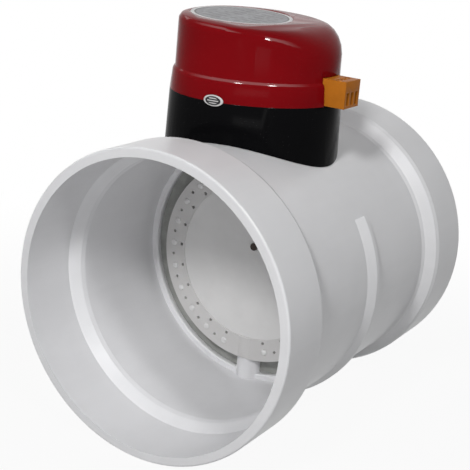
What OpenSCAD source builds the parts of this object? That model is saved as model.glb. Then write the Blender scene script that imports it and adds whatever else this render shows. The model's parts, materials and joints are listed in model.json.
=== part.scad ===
// Motorized duct damper for round ventilation pipe.
// The duct runs along +Y from the centre of the inlet mouth, the blade turns
// about an upright shaft, and the actuator stands on top, its terminals at +X.

/* [Duct] */
// Outside diameter of the pipe that each socket takes
pipe_d = 160; // [150:0.5:170]
// Radial play between the pipe and its socket
pipe_play = 0.2; // [0.1:0.05:0.4]
// Wall of each socket
socket_wall = 5.3; // [4:0.1:7]
// Depth of each socket
socket_depth = 34.8; // [28:0.1:40]
// Length of the sockets' outer cylinders
socket_band = 34.4; // [28:0.1:40]
// Length of the duct from mouth to mouth
duct_len = 218; // [205:1:260]
// Bore of the barrel between the sockets
barrel_bore = 150; // [146:0.5:154]
// Wall of the barrel
barrel_wall = 3.6; // [3:0.1:5]
// Length of the cone inside each socket's end
inner_cone = 7.1; // [4:0.1:12]
// Length of the cone outside each socket's end
outer_cone = 7.7; // [4:0.1:12]
// Rounding of each mouth's outer edge
mouth_round = 1.2; // [0.3:0.1:1.5]
// Easing of the corners where the cones meet the sockets and the barrel
corner_ease = 1.5; // [0.5:0.1:2]
// Distance of the shaft behind the middle of the duct
shaft_offset = 4.5; // [0:0.5:8]
// Height of the rib round the underside
rib_rise = 2.8; // [1:0.1:3.4]
// Width of that rib
rib_w = 9.5; // [8:0.5:16]
// Length of the slope that climbs to that rib's top
rib_slope = 6.5; // [3:0.1:7]
// Distance of that rib in front of the middle of the duct
rib_offset = 5; // [0:0.5:10]
// Angle above level at which that rib ends
rib_end = 33; // [10:1:40]

/* [Seat] */
// Radial play between the blade's lip and the seat
lip_play = 0.5; // [0.4:0.05:1]
// Radial height of the seat ring inside the barrel
seat_rise = 3.5; // [3:0.1:5]
// Length of the seat ring along the duct
seat_len = 8; // [6:0.5:12]
// Chamfer on the seat ring's edges
seat_chamfer = 0.8; // [0.3:0.1:1.5]

/* [Blade] */
// Width of the rubber lip that stands out of the plates
lip_reach = 10; // [8:0.5:12]
// Thickness of the rubber seal
lip_t = 2; // [1.5:0.1:2.6]
// Width of the clamping ring
ring_w = 13.5; // [12:0.5:15]
// Distance of the ring's face in front of the shaft's axis
ring_face = 9; // [8.6:0.1:10.5]
// Thickness of the blade's plates
plate_t = 2.5; // [2:0.1:3]
// Step from the ring down to the dish
dish_step = 0.7; // [0.4:0.1:1]
// Hollow of the dish below that step
dish_sag = 2.2; // [1.5:0.1:2.4]
// Thickness of the dish
dish_t = 1.8; // [1.4:0.1:2]
// Rivets round the ring, one hole of each row to a rivet
rivets = 24; // [16:4:28]
// Diameter of the rivet heads
rivet_d = 3.8; // [3:0.1:4.4]
// Diameter of the small holes in the ring
pit_d = 1.9; // [1.2:0.1:2.2]

/* [Shaft and bearings] */
// Diameter of the drive shaft and the pivot pin
shaft_d = 8; // [7:0.5:8.5]
// Thickness of the flat tang inside the blade
tang_t = 5.2; // [4:0.1:5.6]
// Running clearance of a shaft in its bush, on the radius
run_gap = 0.04; // [0.03:0.01:0.06]
// Wall of the bushes
bush_wall = 1.6; // [1.2:0.1:1.8]
// Wall of the bearing bosses inside the barrel
boss_wall = 2.2; // [1.8:0.1:2.6]

/* [Actuator housing] */
// Reach of the housing from its centre towards the terminals
plan_nose = 51.9; // [50:0.5:56]
// Reach of the housing away from the terminals
plan_back = 44.3; // [44:0.5:50]
// Half width of the housing along the duct
plan_half = 49.6; // [48:0.5:54]
// Distance of the housing's centre behind the shaft
plan_x = 11.1; // [10:0.5:13]
// Height of the base's floor above the barrel
floor_rise = 5.4; // [5:0.1:8]
// Height of the seam above the barrel
seam_rise = 22.3; // [21.8:0.1:25]
// Height of the cover above the seam
cover_h = 42.1; // [36:0.1:50]
// Wall of the base
base_wall = 3; // [2.4:0.1:3.4]
// Wall of the cover
cover_wall = 2.6; // [2.2:0.1:3]
// Height of the cover's leaning skirt band
skirt_h = 11.3; // [8:0.1:14]
// Inset of that band from the seam to its ridge
skirt_inset = 0.9; // [0.4:0.1:1.4]
// Rounded step of the cover above that band
ridge_step = 1.3; // [0.3:0.1:1.5]
// Draft of the base's wall in degrees
base_draft = 1.9; // [0:0.1:3]
// Rounding of the cover's top edge at the back
round_back = 3.5; // [3.5:0.5:8]
// Rounding of the cover's top edge at the nose
round_nose = 20; // [10:0.5:24]
// Fall of the cover's top towards the terminals, in degrees
top_fall = 2.3; // [0:0.1:4]
// Length of the label plate along the duct
label_len = 67; // [50:1:70]
// Width of the label plate
label_w = 54; // [44:1:58]

/* [Gear train] */
// Pitch diameter of the output gear on the shaft
out_gear_d = 40; // [39.5:0.1:41]
// Teeth of the output gear
out_teeth = 40; // [38:1:41]
// Teeth of the idler's small gear
pin_teeth = 14; // [14:1:15]
// Teeth of the idler's large gear
wheel_teeth = 30; // [29:1:31]
// Teeth of the motor's pinion
motor_teeth = 14; // [14:1:15]
// Thickness of the gears
gear_t = 4.4; // [3.6:0.1:4.6]
// Diameter of the motor
motor_d = 45; // [42:0.5:46]
// Height of the motor
motor_h = 20; // [16:0.5:24]
// Thickness of the gear plate
gear_plate_t = 1.5; // [1.2:0.1:2]

/* [Terminals] */
// Distance between the wire entries
pole_pitch = 5.08; // [5:0.01:5.2]
// Number of wire entries
poles = 3; // [2:1:3]
// Height of the terminal plug
plug_h = 14.8; // [13:0.1:15]
// Reach of the plug in front of the shaft
plug_reach = 51.3; // [48:0.1:56]

/* [Hidden] */
$fn = 64;
over = 1;          // overrun of a cut past the face that it opens
loose = 0.05;      // play between still pieces that seat in each other
gap = 0.3;         // space between curved faces that pass each other

// Duct
socket_r = pipe_d/2 + pipe_play;
socket_out_r = socket_r + socket_wall;
barrel_r = barrel_bore/2;
barrel_out_r = barrel_r + barrel_wall;
shaft_y = duct_len/2 + shaft_offset;
seat_r = barrel_r - seat_rise;
lip_r = seat_r - lip_play;
plate_r = lip_r - lip_reach;
dish_r = plate_r - ring_w;
shaft_r = shaft_d/2;
bush_in_r = shaft_r + run_gap;
bush_out_r = bush_in_r + bush_wall;
boss_r = bush_out_r + boss_wall;
hub_end = plate_r - gap*3;             // where the blade's hubs stop
boss_end = hub_end + gap;              // where the duct's bosses start
bush_start = boss_end + gap;
blind_wall = 1;                        // plastic left under the lower bush
// The corner q between p and r, cut back by the easing
function eased(p, q, r) =
    [for (end = [p, r]) q + corner_ease*(end - q)/norm(end - q)];
socket_wall_points = concat(
    [[socket_r, 0]],
    [for (a = [0:30:90])
        [socket_out_r - mouth_round*(1 - sin(a)), mouth_round*(1 - cos(a))]],
    eased([socket_out_r, 0], [socket_out_r, socket_band],
        [barrel_out_r, socket_band + outer_cone]),
    eased([socket_out_r, socket_band], [barrel_out_r, socket_band + outer_cone],
        [barrel_out_r, duct_len/2]),
    [[barrel_out_r, duct_len/2 + over], [barrel_r, duct_len/2 + over]],
    eased([barrel_r, duct_len/2], [barrel_r, socket_depth + inner_cone],
        [socket_r, socket_depth]),
    [[socket_r, socket_depth]]);

// Heights above the duct's axis, from the barrel upwards
boss_top = barrel_out_r + floor_rise + base_wall - over;
floor_z = barrel_out_r + floor_rise;
floor_top = floor_z + base_wall;
seam_z = barrel_out_r + seam_rise;
ridge_z = seam_z + skirt_h;
top_z = seam_z + cover_h;
switch_t = 6;
cam_z = floor_top + over;
cam_t = 4.4;
out_z = floor_top + switch_t + gap*2;
wheel_z = out_z + gear_t + gap*3;
gear_plate_z = wheel_z + gear_t + gap*3;
motor_z = gear_plate_z + gear_plate_t;
shaft_top = gear_plate_z + gear_plate_t - gap;
board_t = 1.6;
board_z = out_z + gear_t + over;
ring_r = shaft_r + bush_wall + 2*loose;
o_ring_cord = 1.1;
retainer_t = 0.8;
o_ring_pit = 2*o_ring_cord + retainer_t;

// Gear centres seen from above, measured from the shaft
tooth_module = out_gear_d/out_teeth;
out_r = out_gear_d/2;
idler_pin_r = pin_teeth*tooth_module/2;
wheel_r = wheel_teeth*tooth_module/2;
motor_pin_r = motor_teeth*tooth_module/2;
idler_turn = -121;
motor_turn = 126;
idler_at = (out_r + idler_pin_r)*[cos(idler_turn), sin(idler_turn)];
motor_at = idler_at + (wheel_r + motor_pin_r)*[cos(motor_turn), sin(motor_turn)];
axle_r = 1.5;
spindle_r = 2.5;
backlash = 0.2;
pressure = 20;
tip_share = 0.85;
root_share = 1.2;

// Housing
plan_steps = 72;
blunt_power = 2.17;
nose_power = 1.87;
plan_y = -shaft_offset;
tongue_w = 1.4;
tongue_h = 2;
gasket_t = 1.2;
rebate = base_wall - tongue_w - loose;
skirt_low = barrel_out_r*0.6;
screw_r = 1.75;
small_screw_r = 1.25;
head_h = 2;
post_r = 5;
base_post_shares = [[0.638, -0.444], [0.638, 0.444], [-0.427, -0.726], [-0.427, 0.726]];
board_post_shares = [[0.811, -0.282], [0.811, 0.282], [0.484, 0.595], [0.484, -0.413]];
plate_post_r = 3.3;
board_post_r = 2.6;
ledge = 5;                             // inset of the plates from the housing's outline
plate_post_reach = motor_d/2 + 2*small_screw_r + 2*gap;
gear_plate_edge = 9;
label_off = 10.9;                      // from the housing's centre back to the label's
label_pit = 0.6;
board_edge = 10.5;

// Limit switches
switch_len = 20;
switch_h = 10;
button_r = 1.2;
button_free = 1.7;                     // length of the button that stands out
cam_r = 9;
lobe_reach = 12;
switch_face = lobe_reach + gap + button_free;
switch_pin_r = 1.15;
switch_pin_at = 4.8;

// Terminals
plug_margin = 1.9;
plug_w = poles*pole_pitch + plug_margin;
plug_back = 36.2;
plug_lift = 0.8;
plug_z = board_z + board_t + plug_lift;
plug_nose = 8;
header_wall = 1.2;
entry_w = 2.9;
entry_h = 7;
clamp_screw_r = 1.9;
clamp_share = 0.6;                     // of the plug's reach out of the window
entry_depth = (1 - clamp_share)*(plug_reach - plug_back);

module along_y() {
    rotate([-90, 0, 0])
        children();
}

module at_shaft() {
    translate([0, shaft_y, 0])
        children();
}

// An upright cylinder between two heights
module post(at, r, low, high) {
    translate([at[0], at[1], low])
        cylinder(r = r, h = high - low);
}

// A ring about the upright axis between two heights
module sleeve(inner, outer, low, high) {
    difference() {
        post([0, 0], outer, low, high);
        post([0, 0], inner, low - over, high + over);
    }
}

// The housing's rounded plan, blunt at the back and fuller at the nose
function plan_point(t, grow) =
    let (c = cos(t), s = sin(t),
         power = c < 0 ? blunt_power : nose_power,
         reach = (c < 0 ? plan_back : plan_nose) + grow)
    [-plan_x + reach*sign(c)*pow(abs(c), 2/power),
     plan_y + (plan_half + grow)*sign(s)*pow(abs(s), 2/power)];

function plan_outline(grow) =
    [for (i = [0:plan_steps - 1]) plan_point(360*i/plan_steps, grow)];

function plan_ring(z, grow) = [for (q = plan_outline(grow)) [q[0], q[1], z]];

// A place in the housing from its shares of the plan's reach
function plan_place(share) =
    [-plan_x + share[0]*(share[0] < 0 ? plan_back : plan_nose), plan_y + share[1]*plan_half];
base_post_at = [for (share = base_post_shares) plan_place(share)];
plate_post_at = [
    for (turn = [118, 240]) motor_at + plate_post_reach*[cos(turn), sin(turn)],
    [plate_post_r, switch_face + switch_h + 2*plate_post_r],
    idler_at + (wheel_r + 3*plate_post_r)*[cos(idler_turn + 88), sin(idler_turn + 88)]];
board_post_at = [for (share = board_post_shares) plan_place(share)];

// A solid through a stack of rings, lowest first
module skin(rings) {
    n = len(rings[0]);
    last = len(rings) - 1;
    sides = [for (k = [0:last - 1], i = [0:n - 1], half = [0, 1])
        let (j = (i + 1)%n, low = k*n, high = low + n)
        half == 0 ? [low + i, high + i, high + j] : [low + i, high + j, low + j]];
    polyhedron(
        points = [for (ring = rings) each ring],
        faces = concat(sides,
            [[for (i = [0:n - 1]) i]],
            [[for (i = [n - 1:-1:0]) last*n + i]]));
}

module plan_solid(grow, low, high) {
    translate([0, 0, low])
        linear_extrude(high - low)
            polygon(plan_outline(grow));
}

function oval_outline(half_x, half_y) =
    [for (i = [0:plan_steps - 1]) let (t = 360*i/plan_steps) [half_x*cos(t), half_y*sin(t)]];

// Duct

module socket_end() {
    rotate_extrude($fn = 180)
        polygon(socket_wall_points);
}

module seat_ring() {
    translate([0, 0, shaft_y - seat_len/2])
        rotate_extrude($fn = 180)
            polygon([
                [barrel_r + barrel_wall/2, 0],
                [seat_r + seat_chamfer, 0],
                [seat_r, seat_chamfer],
                [seat_r, seat_len - seat_chamfer],
                [seat_r + seat_chamfer, seat_len],
                [barrel_r + barrel_wall/2, seat_len]]);
}

// The rib's slope and top, all the way round, its slope starting inside the wall
module rib_round() {
    buried = barrel_wall/2;
    toe = buried*rib_slope/rib_rise;
    difference() {
        union() {
            translate([0, 0, -toe])
                cylinder(r1 = barrel_out_r - buried, r2 = barrel_out_r + rib_rise,
                    h = toe + rib_slope, $fn = 180);
            translate([0, 0, rib_slope])
                cylinder(r = barrel_out_r + rib_rise, h = rib_w - rib_slope, $fn = 180);
        }
        translate([0, 0, -toe - over])
            cylinder(r = barrel_out_r - buried, h = toe + rib_w + 2*over, $fn = 180);
    }
}

module underside_rib() {
    buried = barrel_wall/2;
    translate([0, 0, duct_len/2 - rib_offset - rib_w/2]) {
        rotate([0, 0, -rib_end])
            rotate_extrude(angle = 180 + 2*rib_end, $fn = 180)
                polygon([
                    [barrel_out_r - buried, -buried*rib_slope/rib_rise],
                    [barrel_out_r + rib_rise, rib_slope],
                    [barrel_out_r + rib_rise, rib_w],
                    [barrel_out_r - buried, rib_w]]);
        for (turn = [-rib_end, 180 + rib_end])
            intersection() {
                rotate([0, 0, turn])
                    translate([0, 0, (rib_w + gap)/2])
                        rotate([0, 90, 0])
                            cylinder(r = (rib_w - gap)/2, h = barrel_out_r + rib_rise + over);
                rib_round();
            }
    }
}

module barrel_cut(r) {
    along_y()
        translate([0, 0, -shaft_y])
            cylinder(r = r, h = duct_len, $fn = 180);
}

module duct_body() {
    color([0.93, 0.93, 0.94])
        difference() {
            union() {
                along_y() {
                    socket_end();
                    translate([0, 0, duct_len])
                        mirror([0, 0, 1])
                            socket_end();
                    seat_ring();
                    underside_rib();
                }
                at_shaft() {
                    post([0, 0], boss_r, boss_end, barrel_r + over);
                    post([0, 0], boss_r, -barrel_r - over, -boss_end);
                    post([0, 0], boss_r + boss_wall, barrel_r + barrel_wall/4, boss_top);
                    difference() {
                        for (at = base_post_at)
                            post(at, post_r, barrel_r/2, floor_z);
                        barrel_cut(barrel_r + barrel_wall/2);
                    }
                }
            }
            at_shaft() {
                post([0, 0], bush_out_r, boss_end - over, boss_top + over);
                post([0, 0], ring_r + o_ring_cord, boss_top - o_ring_pit, boss_top + over);
                post([0, 0], bush_out_r, -barrel_out_r + blind_wall, -boss_end + over);
                for (at = base_post_at)
                    post(at, screw_r, floor_z - 2*post_r, floor_z + over);
            }
        }
}

module upper_bush() {
    color([0.72, 0.55, 0.3])
        at_shaft()
            sleeve(bush_in_r, bush_out_r - loose, bush_start, boss_top - o_ring_pit);
}

module lower_bush() {
    color([0.72, 0.55, 0.3])
        at_shaft()
            sleeve(bush_in_r, bush_out_r - loose, -barrel_out_r + blind_wall, -bush_start);
}

module shaft_o_ring() {
    color([0.12, 0.12, 0.12])
        at_shaft()
            translate([0, 0, boss_top - o_ring_pit + o_ring_cord])
                rotate_extrude()
                    translate([shaft_r + loose + o_ring_cord, 0])
                        circle(r = o_ring_cord, $fn = 24);
}

module seal_retainer() {
    color([0.6, 0.6, 0.62])
        at_shaft()
            sleeve(shaft_r + gap, ring_r + o_ring_cord - loose, boss_top - retainer_t, boss_top);
}

// Blade, modelled shut

// A rod along the duct through the blade, its axis at x and z
module cross_rod(r, x, z, front, back) {
    translate([x, -front, z])
        along_y()
            cylinder(r = r, h = front - back, $fn = 32);
}

// Turns a profile of radius and height about the duct's axis, heights towards the inlet
module blade_turned() {
    rotate([90, 0, 0])
        rotate_extrude($fn = 180)
            children();
}

half_lip = lip_t/2;
rivet_ring = dish_r + ring_w*0.56;
inner_pits = dish_r + ring_w*0.16;
outer_pits = dish_r + ring_w*0.6;
rivet_shank = rivet_d*0.32;
hub_front_r = ring_face + gap*2.5;
hub_rear_r = shaft_r + boss_wall + over;
dish_low = ring_face - dish_step - dish_sag;
dish_steps = 16;
dish_back = dish_low - dish_t;
wall_in_r = dish_r - plate_t;
block_half = sqrt(wall_in_r*wall_in_r - hub_rear_r*hub_rear_r) - loose;
rim_in_r = plate_r - 2*plate_t;
dish_curve = [for (i = [dish_steps:-1:0])
    [dish_r*i/dish_steps, dish_low + dish_sag*pow(i/dish_steps, 2)]];
plate_section = [
    [0, dish_back],
    [wall_in_r, dish_back],
    [wall_in_r, half_lip],
    [dish_r, half_lip],
    [dish_r, ring_face - plate_t],
    [rim_in_r, ring_face - plate_t],
    [rim_in_r, half_lip],
    [plate_r, half_lip],
    [plate_r, ring_face],
    [dish_r, ring_face]];
seal_in_r = rivet_ring - rivet_d;
screw_at = [dish_r*0.205, dish_r*0.8];

module shaft_slot(grow) {
    intersection() {
        post([0, 0], shaft_r + grow, gap*10 - grow, hub_end + over);
        translate([-shaft_d, -tang_t/2 - grow, 0])
            cube([2*shaft_d, tang_t + 2*grow, hub_end + over]);
    }
}

module pin_hole(grow) {
    post([0, 0], shaft_r + grow, -hub_end - over, -dish_r + over - grow);
}

module blade_cuts() {
    shaft_slot(loose);
    pin_hole(loose/2);
    for (side = [0, 1])
        mirror([0, 0, side])
            post([0, 0], boss_r + gap, hub_end, plate_r + over);
    for (z = screw_at)
        cross_rod(small_screw_r, 0, z, 2*ring_face, -2*ring_face);
}

module ring_marks(first, r) {
    for (i = [0:rivets - 1]) {
        turn = 360*(i + first)/rivets;
        if (abs(r*cos(turn)) > hub_front_r + pit_d)
            translate([r*cos(turn), 0, r*sin(turn)])
                children();
    }
}

module hub_half(r) {
    for (side = [0, 1])
        mirror([0, 0, side])
            post([0, 0], r, dish_r - plate_t/5, hub_end);
}

module blade_front() {
    color([0.9, 0.9, 0.91])
        at_shaft()
            difference() {
                union() {
                    blade_turned()
                        polygon(concat(plate_section, dish_curve));
                    ring_marks(0, rivet_ring)
                        cross_rod(rivet_d*0.75, 0, 0, ring_face - over, half_lip);
                    intersection() {
                        hub_half(hub_front_r);
                        translate([-plate_r, -2*ring_face, -plate_r])
                            cube([2*plate_r, 2*ring_face - half_lip, 2*plate_r]);
                    }
                }
                blade_cuts();
                ring_marks(0, rivet_ring)
                    cross_rod(rivet_shank + loose, 0, 0, 2*ring_face, 0);
                ring_marks(0, inner_pits)
                    cross_rod(pit_d/2, 0, 0, 2*ring_face, half_lip + plate_t);
                ring_marks(0.5, outer_pits)
                    cross_rod(pit_d/2, 0, 0, 2*ring_face, half_lip + plate_t);
            }
}

module blade_rear() {
    color([0.88, 0.88, 0.89])
        at_shaft()
            difference() {
                union() {
                    blade_turned()
                        translate([0, -half_lip - plate_t])
                            square([plate_r, plate_t]);
                    blade_turned()
                        translate([plate_r - plate_t, -half_lip - 2*plate_t])
                            square([plate_t, plate_t + over]);
                    for (x = [-dish_r/2, dish_r/2])
                        translate([x - plate_t/2, half_lip + over/2, -dish_r])
                            cube([plate_t, 2*plate_t, 2*dish_r]);
                    intersection() {
                        post([0, 0], hub_rear_r, -hub_end, hub_end);
                        union() {
                            translate([-hub_rear_r, -half_lip, -hub_end])
                                cube([2*hub_rear_r, 2*hub_rear_r, 2*hub_end]);
                            translate([-hub_rear_r, loose - dish_back, -block_half])
                                cube([2*hub_rear_r, dish_low, 2*block_half]);
                        }
                    }
                }
                blade_cuts();
                ring_marks(0, rivet_ring)
                    cross_rod(rivet_shank + loose, 0, 0, 0, -2*ring_face);
            }
}

module blade_seal() {
    color([0.38, 0.38, 0.37])
        at_shaft()
            difference() {
                blade_turned()
                    translate([seal_in_r, -half_lip])
                        square([lip_r - seal_in_r, lip_t]);
                for (side = [0, 1])
                    mirror([0, 0, side]) {
                        post([0, 0], boss_r + gap, hub_end, lip_r + over);
                        post([0, 0], hub_rear_r + loose, seal_in_r - 2*over, hub_end + over);
                    }
                ring_marks(0, rivet_ring)
                    cross_rod(rivet_shank + loose, 0, 0, ring_face, -ring_face);
            }
}

module blade_rivets() {
    head_rise = rivet_d*0.24;
    tail = half_lip + plate_t;
    color([0.95, 0.95, 0.95])
        at_shaft()
            ring_marks(0, rivet_ring)
                rotate([90, 0, 0])
                    rotate_extrude($fn = 32)
                        polygon([
                            [0, -tail - head_rise],
                            [rivet_d*0.35, -tail - head_rise],
                            [rivet_d/2, -tail],
                            [rivet_shank, -tail],
                            [rivet_shank, ring_face],
                            [rivet_d/2, ring_face],
                            [rivet_d*0.45, ring_face + head_rise*0.6],
                            [rivet_d*0.28, ring_face + head_rise],
                            [0, ring_face + head_rise]]);
}

module blade_screws() {
    head_r = small_screw_r*1.8;
    color([0.15, 0.12, 0.1])
        at_shaft()
            for (z = screw_at) {
                face = dish_low + dish_sag*pow((z + head_r)/dish_r, 2) + loose;
                cross_rod(small_screw_r - loose, 0, z, face, -hub_rear_r + over);
                cross_rod(head_r, 0, z, face + head_r*0.6, face);
            }
}

module pivot_pin() {
    color([0.7, 0.7, 0.72])
        at_shaft()
            post([0, 0], shaft_r, -barrel_out_r + blind_wall + gap, -dish_r);
}

// Drive

flat_at = shaft_r*0.8;

module d_section(grow, low, high) {
    intersection() {
        post([0, 0], shaft_r + grow, low, high);
        translate([-shaft_d, -shaft_d, low])
            cube([shaft_d + flat_at + grow, 2*shaft_d, high - low]);
    }
}

module drive_shaft() {
    color([0.72, 0.72, 0.74])
        at_shaft()
            difference() {
                union() {
                    shaft_slot(0);
                    post([0, 0], shaft_r, hub_end + gap/3, cam_z);
                    d_section(0, cam_z - over, wheel_z);
                    post([0, 0], shaft_r*0.75, wheel_z - over, shaft_top);
                }
                for (z = screw_at)
                    cross_rod(small_screw_r, 0, z, ring_face, -ring_face);
            }
}

// Half angle of a tooth at radius r of a gear with pitch radius p
function involute(angle) = tan(angle)*180/PI - angle;
function tooth_half(r, p, teeth) =
    let (base = p*cos(pressure),
         at = r > base ? acos(base/r) : 0)
    90/teeth - backlash/p*45/PI + involute(pressure) - involute(at);

function gear_outline(teeth) =
    let (p = teeth*tooth_module/2,
         tip = p + tip_share*tooth_module,
         root = p - root_share*tooth_module,
         base = max(root + tooth_module/10, p*cos(pressure)),
         flank = [root, base, (base + 2*p)/3, (p + tip)/2, tip])
    [for (i = [0:teeth - 1], side = [-1, 1], k = [0:4])
        let (r = side < 0 ? flank[k] : flank[4 - k],
             turn = 360*i/teeth + side*tooth_half(r, p, teeth))
        [r*cos(turn), r*sin(turn)]];

module gear(teeth, turn, at, low, t) {
    translate([at[0], at[1], low])
        rotate([0, 0, turn])
            linear_extrude(t)
                polygon(gear_outline(teeth));
}

module output_gear() {
    hub_low = cam_z + cam_t;
    color([0.9, 0.88, 0.8])
        at_shaft()
            difference() {
                union() {
                    gear(out_teeth, idler_turn, [0, 0], out_z, gear_t);
                    post([0, 0], 2*shaft_r, hub_low, wheel_z - gap);
                }
                d_section(loose, hub_low - over, wheel_z + over);
                for (i = [0:5])
                    post((out_r + shaft_r)*0.55*[cos(60*i + 30), sin(60*i + 30)], out_r/7,
                        out_z - over, out_z + gear_t + over);
            }
}

module switch_cam() {
    tip_r = 2.2;
    color([0.2, 0.2, 0.22])
        at_shaft()
            difference() {
                union() {
                    post([0, 0], cam_r, cam_z, cam_z + cam_t);
                    translate([0, 0, cam_z])
                        linear_extrude(cam_t)
                            polygon([
                                [0, -cam_r*0.95],
                                [lobe_reach - tip_r, -tip_r*0.95],
                                [lobe_reach - tip_r, tip_r*0.95],
                                [0, cam_r*0.95]]);
                    post([lobe_reach - tip_r, 0], tip_r, cam_z, cam_z + cam_t);
                }
                d_section(loose, cam_z - over, cam_z + cam_t + over);
            }
}

module idler_gear() {
    color([0.85, 0.83, 0.75])
        at_shaft()
            difference() {
                union() {
                    gear(pin_teeth, idler_turn + 180 + 180/pin_teeth, idler_at, out_z - gap/2,
                        wheel_z - out_z + gap);
                    gear(wheel_teeth, motor_turn, idler_at, wheel_z, gear_t);
                }
                post(idler_at, axle_r + run_gap, out_z - over, wheel_z + gear_t + over);
            }
}

module idler_axle() {
    color([0.7, 0.7, 0.72])
        at_shaft()
            post(idler_at, axle_r, floor_top - base_wall/2, motor_z - gap);
}

module motor_pinion() {
    color([0.78, 0.66, 0.35])
        at_shaft()
            difference() {
                gear(motor_teeth, motor_turn + 180 + 180/motor_teeth, motor_at, wheel_z - gap,
                    gear_t + gap);
                post(motor_at, spindle_r + loose/2, wheel_z - over, wheel_z + gear_t + over);
            }
}

module motor_spindle() {
    color([0.75, 0.75, 0.77])
        at_shaft()
            post(motor_at, spindle_r, wheel_z - 2*gap, motor_z + motor_h*0.8);
}

ear_reach = motor_d/2 + 2*spindle_r;

module motor_can() {
    color([0.62, 0.63, 0.65])
        at_shaft()
            difference() {
                union() {
                    post(motor_at, motor_d/2, motor_z, motor_z + motor_h*0.92);
                    post(motor_at, motor_d/2 - over, motor_z, motor_z + motor_h);
                    for (side = [-1, 1])
                        post(motor_at + [0, side*ear_reach], 2*screw_r, motor_z,
                            motor_z + gear_plate_t);
                    translate([motor_at[0] - 2*screw_r, motor_at[1] - ear_reach, motor_z])
                        cube([4*screw_r, 2*ear_reach, gear_plate_t]);
                }
                post(motor_at, spindle_r + run_gap, motor_z - over, motor_z + motor_h*0.82);
                for (side = [-1, 1])
                    post(motor_at + [0, side*ear_reach], small_screw_r + loose, motor_z - over,
                        motor_z + gear_plate_t + over);
            }
}

// A pan-head screw standing in its hole, its head resting at height z
module screw(at, r, z, depth) {
    difference() {
        union() {
            post(at, r - loose, z - depth, z + over/2);
            post(at, 2*r, z, z + head_h);
        }
        translate([at[0], at[1], z + head_h])
            for (turn = [0, 90])
                rotate([0, 0, turn])
                    cube([2.4*r, r/2, head_h], center = true);
    }
}

module motor_screws() {
    color([0.55, 0.55, 0.57])
        at_shaft()
            for (side = [-1, 1])
                screw(motor_at + [0, side*ear_reach], small_screw_r, motor_z + gear_plate_t,
                    2*gear_plate_t + gap);
}

// The part of the housing's plan on one side of a line across it
module plan_plate(grow, low, t, from_x, to_x) {
    intersection() {
        plan_solid(grow, low, low + t);
        translate([from_x, -2*plan_half, low])
            cube([to_x - from_x, 4*plan_half, t]);
    }
}

module gear_plate() {
    color([0.68, 0.7, 0.72])
        at_shaft()
            difference() {
                plan_plate(-ledge, gear_plate_z, gear_plate_t, -2*plan_back, gear_plate_edge);
                post([0, 0], shaft_r*0.75 + run_gap, gear_plate_z - over, motor_z + over);
                post(idler_at, axle_r + loose, gear_plate_z - over, motor_z + over);
                post(motor_at, 2*spindle_r, gear_plate_z - over, motor_z + over);
                for (at = plate_post_at)
                    post(at, small_screw_r + loose, gear_plate_z - over, motor_z + over);
                for (side = [-1, 1])
                    post(motor_at + [0, side*ear_reach], small_screw_r, gear_plate_z - over,
                        motor_z + over);
            }
}

module plate_screws() {
    color([0.55, 0.55, 0.57])
        at_shaft()
            for (at = plate_post_at)
                screw(at, small_screw_r, motor_z, 3*plate_post_r);
}

// Limit switches: the shut one faces the shaft from +X, the open one from +Y

module switch_frame(turn) {
    at_shaft()
        rotate([0, 0, turn])
            children();
}

module switch_body() {
    difference() {
        translate([switch_face, -switch_len/2, floor_top])
            cube([switch_h, switch_len, switch_t]);
        translate([switch_face - over, 0, cam_z + cam_t/2])
            rotate([0, 90, 0])
                cylinder(r = button_r + 2*loose, h = button_free + 2*over);
        for (side = [-1, 1])
            post([switch_face + 0.7*switch_h, side*switch_pin_at], switch_pin_r + loose,
                floor_top - over, floor_top + switch_t + over);
    }
}

module switch_button() {
    tip = lobe_reach + gap;
    translate([tip, 0, cam_z + cam_t/2])
        rotate([0, 90, 0])
            cylinder(r = button_r, h = 2*button_free - button_free/4);
}

module closed_switch() {
    color([0.15, 0.15, 0.17])
        switch_frame(0)
            switch_body();
}

module open_switch() {
    color([0.15, 0.15, 0.17])
        switch_frame(90)
            switch_body();
}

module closed_button() {
    color([0.8, 0.2, 0.15])
        switch_frame(0)
            switch_button();
}

module open_button() {
    color([0.8, 0.2, 0.15])
        switch_frame(90)
            switch_button();
}

// Circuit board and terminals

module circuit_board() {
    color([0.1, 0.4, 0.25])
        at_shaft()
            difference() {
                plan_plate(-ledge, board_z, board_t, board_edge, 2*plan_nose);
                for (at = board_post_at)
                    post(at, small_screw_r + loose, board_z - over, board_z + board_t + over);
            }
}

module board_screws() {
    color([0.55, 0.55, 0.57])
        at_shaft()
            for (at = board_post_at)
                screw(at, small_screw_r, board_z + board_t, 3*board_post_r);
}

module motor_capacitor() {
    width = 9;
    length = 18;
    height = 15;
    color([0.76, 0.62, 0.12])
        at_shaft()
            translate([board_edge + over, plan_y - length/2, board_z + board_t])
                cube([width, length, height]);
}

module plug_box(back, front, width, low, high) {
    translate([back, plan_y - width/2, low])
        cube([front - back, width, high - low]);
}

header_top = plug_z + plug_h*0.7;

module terminal_header() {
    back = plug_back - plug_nose - 2*header_wall;
    color([0.85, 0.5, 0.15])
        at_shaft() {
            difference() {
                plug_box(back, plug_back - gap, plug_w, board_z + board_t, header_top);
                plug_box(back + header_wall, plug_back + over, plug_w - 2*header_wall,
                    board_z + board_t + header_wall, header_top - header_wall);
            }
        }
}

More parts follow.
